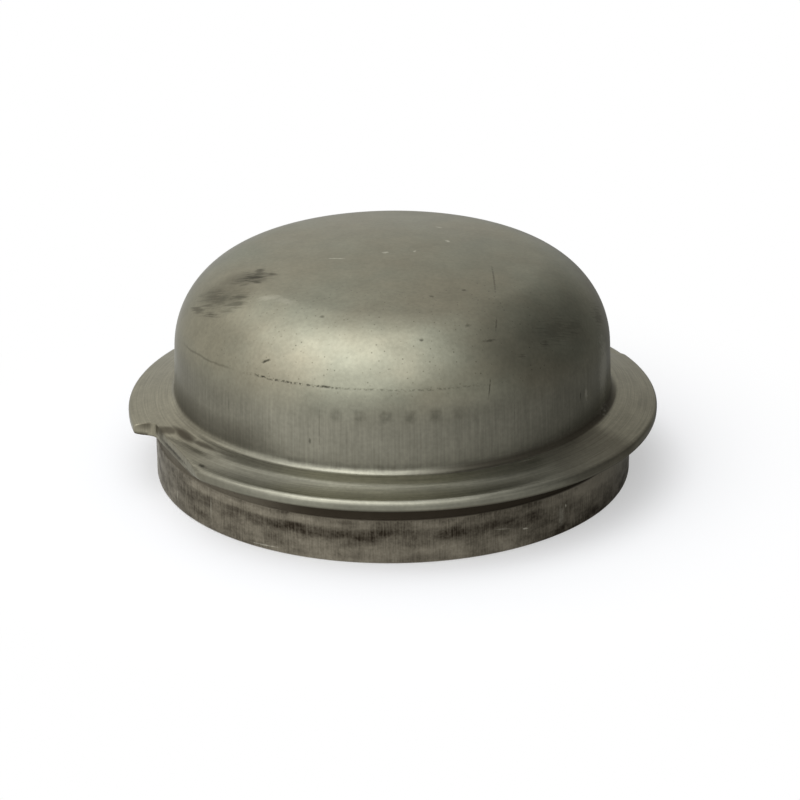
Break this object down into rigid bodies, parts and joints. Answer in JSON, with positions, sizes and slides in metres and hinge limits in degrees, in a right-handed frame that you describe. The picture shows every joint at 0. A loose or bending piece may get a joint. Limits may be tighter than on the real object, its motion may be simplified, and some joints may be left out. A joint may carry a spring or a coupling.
{
  "type": "hub grease cap",
  "caption": "Drawn steel cap that presses into a wheel hub's bore to close the bearing: crowned dome, folded flange with pry notch and short press-fit skirt.",
  "frame": {"origin": "centre of the skirt's bottom rim, where the cap stands when it is off the hub", "axes": "+Z along the cap's axis, out of the hub towards the dome; -Y is the side with the pry notch on its left"},
  "size_m": [0.0688, 0.0682, 0.0299],
  "materials": {
    "bare_steel": "bare drawn steel, satin, with handling marks and a dirty skirt"
  },
  "bodies": {
    "root": {"grease_cap": "bare_steel"}
  },
  "joints": []
}
